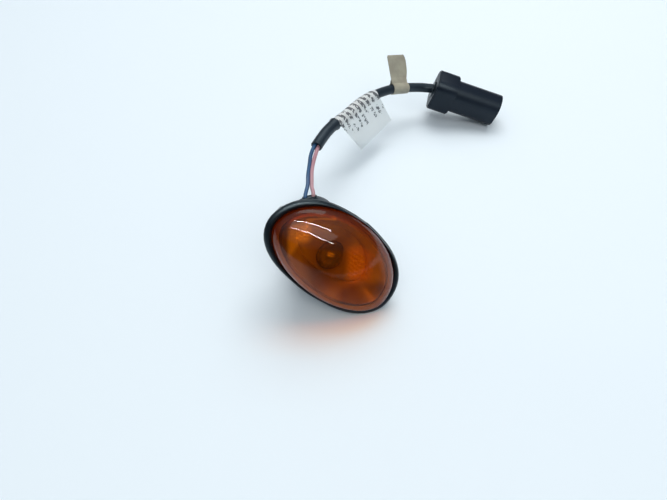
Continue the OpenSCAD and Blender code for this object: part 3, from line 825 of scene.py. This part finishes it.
def dressed_copy(node_name, edge):
    """A smooth-shaded copy of a CAD node, with its sharp edges rounded by edge millimetres."""
    bpy.ops.object.select_all(action="DESELECT")
    piece = bpy.data.objects.new(node_name + "_piece", nodes[node_name].data.copy())
    bpy.context.scene.collection.objects.link(piece)
    select_only(piece)
    bpy.ops.object.mode_set(mode="EDIT")
    bpy.ops.mesh.select_all(action="SELECT")
    bpy.ops.mesh.remove_doubles(threshold=weld_gap * 0.001)
    if edge:
        bpy.ops.mesh.dissolve_limited(angle_limit=math.radians(flat_angle))
    bpy.ops.object.mode_set(mode="OBJECT")
    if edge:
        rounding = piece.modifiers.new("rounding", "BEVEL")
        rounding.width = edge * 0.001
        rounding.segments = 3
        rounding.limit_method = "ANGLE"
        rounding.angle_limit = math.radians(sharp_angle)
        bpy.ops.object.modifier_apply(modifier="rounding")
    bpy.ops.object.shade_smooth_by_angle(angle=math.radians(smooth_angle))
    piece.data.materials.clear()
    piece.data.materials.append(node_finishes[node_name])
    stands_for(piece, node_name)
    return piece


edges = {"connector_body": 0.6, "bulb_holder": 0.3, "wire_outlet": 0.15, "sleeve_cover": 0.05}
pieces = {name: dressed_copy(name, edges.get(name, 0)) for name in node_finishes}

# Table, world and lamps


def add_table():
    """The pale table top. Its underside is see-through, so that views from below stay open."""
    bpy.ops.object.select_all(action="DESELECT")
    bpy.ops.mesh.primitive_plane_add(size=6)
    table = bpy.context.object
    table.name = "table_top"
    turn = table_up.to_track_quat("Z", "Y").to_matrix().to_4x4()
    table.matrix_world = Matrix.Translation(mm(table_up * table_level)) @ turn
    material = bpy.data.materials.new("pale_table")
    material.use_nodes = True
    tree = material.node_tree
    shader = tree.nodes["Principled BSDF"]
    shader.inputs["Base Color"].default_value = (0.79, 0.872, 0.935, 1)
    shader.inputs["Roughness"].default_value = 0.6
    shader.inputs["Specular IOR Level"].default_value = 0.3
    clear = tree.nodes.new("ShaderNodeBsdfTransparent")
    back = tree.nodes.new("ShaderNodeNewGeometry")
    mix = tree.nodes.new("ShaderNodeMixShader")
    tree.links.new(back.outputs["Backfacing"], mix.inputs["Fac"])
    tree.links.new(shader.outputs["BSDF"], mix.inputs[1])
    tree.links.new(clear.outputs["BSDF"], mix.inputs[2])
    tree.links.new(mix.outputs["Shader"], tree.nodes["Material Output"].inputs["Surface"])
    table.data.materials.append(material)


def add_world():
    """A pale room: bright overhead and underneath, dim along the table's level."""
    dim_steepness, bright_steepness = 0.2, 0.95
    dim_light, bright_light = 0.13, 0.66
    world = bpy.data.worlds.new("pale_room")
    bpy.context.scene.world = world
    world.use_nodes = True
    tree = world.node_tree
    background = tree.nodes["Background"]
    background.inputs["Color"].default_value = (0.86, 0.94, 1.0, 1)
    direction = tree.nodes.new("ShaderNodeTexCoord")
    rise = tree.nodes.new("ShaderNodeVectorMath")
    rise.operation = "DOT_PRODUCT"
    rise.inputs[1].default_value = table_up
    tree.links.new(direction.outputs["Generated"], rise.inputs[0])
    steep = tree.nodes.new("ShaderNodeMath")
    steep.operation = "ABSOLUTE"
    tree.links.new(rise.outputs["Value"], steep.inputs[0])
    light = tree.nodes.new("ShaderNodeMapRange")
    light.interpolation_type = "SMOOTHSTEP"
    light.inputs["From Min"].default_value = dim_steepness
    light.inputs["From Max"].default_value = bright_steepness
    light.inputs["To Min"].default_value = dim_light
    light.inputs["To Max"].default_value = bright_light
    tree.links.new(steep.outputs["Value"], light.inputs["Value"])
    tree.links.new(light.outputs["Result"], background.inputs["Strength"])


ceiling_height = 1100
along_ceiling = Vector((0.703, -0.366, 0.610))
over_ceiling = Vector((0, 0.858, 0.514))


def add_ceiling_lamp(name, start, end, width, power, colour, mirrored=True, lights=True):
    """A flat lamp over the table, from start to end in millimetres along and over the ceiling.

    Glossy surfaces show it where it is mirrored, and matt ones are lit by it where it lights.
    """
    above = table_up * (table_level + ceiling_height)
    ends = [along_ceiling * p[0] + over_ceiling * p[1] + above for p in (start, end)]
    run = ends[1] - ends[0]
    lamp_data = bpy.data.lights.new(name, "AREA")
    lamp_data.shape = "RECTANGLE"
    lamp_data.size, lamp_data.size_y = run.length * 0.001, width * 0.001
    lamp_data.energy = power
    lamp_data.color = colour
    lamp = bpy.data.objects.new(name, lamp_data)
    bpy.context.scene.collection.objects.link(lamp)
    lamp.visible_camera = False
    lamp.visible_glossy = mirrored
    lamp.visible_diffuse = lights
    side = table_up.cross(run).normalized()
    turn = Matrix((run.normalized(), side, table_up)).transposed().to_4x4()
    lamp.matrix_world = Matrix.Translation(mm((ends[0] + ends[1]) / 2)) @ turn


def dark_card_material():
    """Near black, fading out towards the card's edges."""
    material = bpy.data.materials.new("dark_card")
    material.use_nodes = True
    tree = material.node_tree
    shader = tree.nodes["Principled BSDF"]
    shader.inputs["Base Color"].default_value = (0.05, 0.045, 0.045, 1)
    split = tree.nodes.new("ShaderNodeSeparateXYZ")
    tree.links.new(object_place(tree), split.inputs["Vector"])
    mask = field_mask(tree, split.outputs["X"], split.outputs["Y"], (-0.38, 0.38, -0.38, 0.38), 0.24)
    tree.links.new(mask, shader.inputs["Alpha"])
    return material


def add_dark_card(name, along, over, up, upright, length, width, material):
    """A card seen only in the glossy lens, as the dim room and the shade in front of the lamp.

    Its place is in millimetres and its size in metres.
    """
    bpy.ops.object.select_all(action="DESELECT")
    bpy.ops.mesh.primitive_plane_add(size=1)
    card = bpy.context.object
    card.name = name
    middle = along_ceiling * along + over_ceiling * over + table_up * (table_level + up)
    upwards, normal = (table_up, over_ceiling) if upright else (over_ceiling, table_up)
    turn = Matrix((along_ceiling, upwards, normal)).transposed().to_4x4()
    card.matrix_world = Matrix.Translation(mm(middle)) @ turn @ Matrix.Diagonal((length, width, 1, 1))
    card.data.materials.append(material)
    card.visible_camera = card.visible_diffuse = card.visible_shadow = card.visible_transmission = False


add_table()
add_world()
dark_card = dark_card_material()
add_dark_card(
    "standing_card", along=80, over=-150, up=50, upright=True, length=1.0, width=0.12, material=dark_card
)
add_dark_card(
    "lying_card", along=150, over=-80, up=1.5, upright=False, length=0.4, width=0.19, material=dark_card
)

# The two tubes are the two bright lines on the lens, and the panel is the haze between them.
warm_white, soft_white, neutral_white = (1, 0.97, 0.92), (1, 0.98, 0.94), (1, 0.99, 0.97)
add_ceiling_lamp("near_tube", (-445, -239), (1090, -615), 28, 10, warm_white, lights=False)
add_ceiling_lamp("far_tube", (-341, -768), (1595, -1532), 36, 11, warm_white, lights=False)
add_ceiling_lamp("tube_panel", (-393, -503), (1342, -1073), 600, 5.4, soft_white)
add_ceiling_lamp("ceiling_light", (-320, 330), (480, 420), 450, 5.5, neutral_white, mirrored=False)
add_ceiling_lamp("back_light", (-450, 850), (500, 750), 700, 4.3, warm_white)

scene = bpy.context.scene
scene.view_settings.view_transform = "Standard"
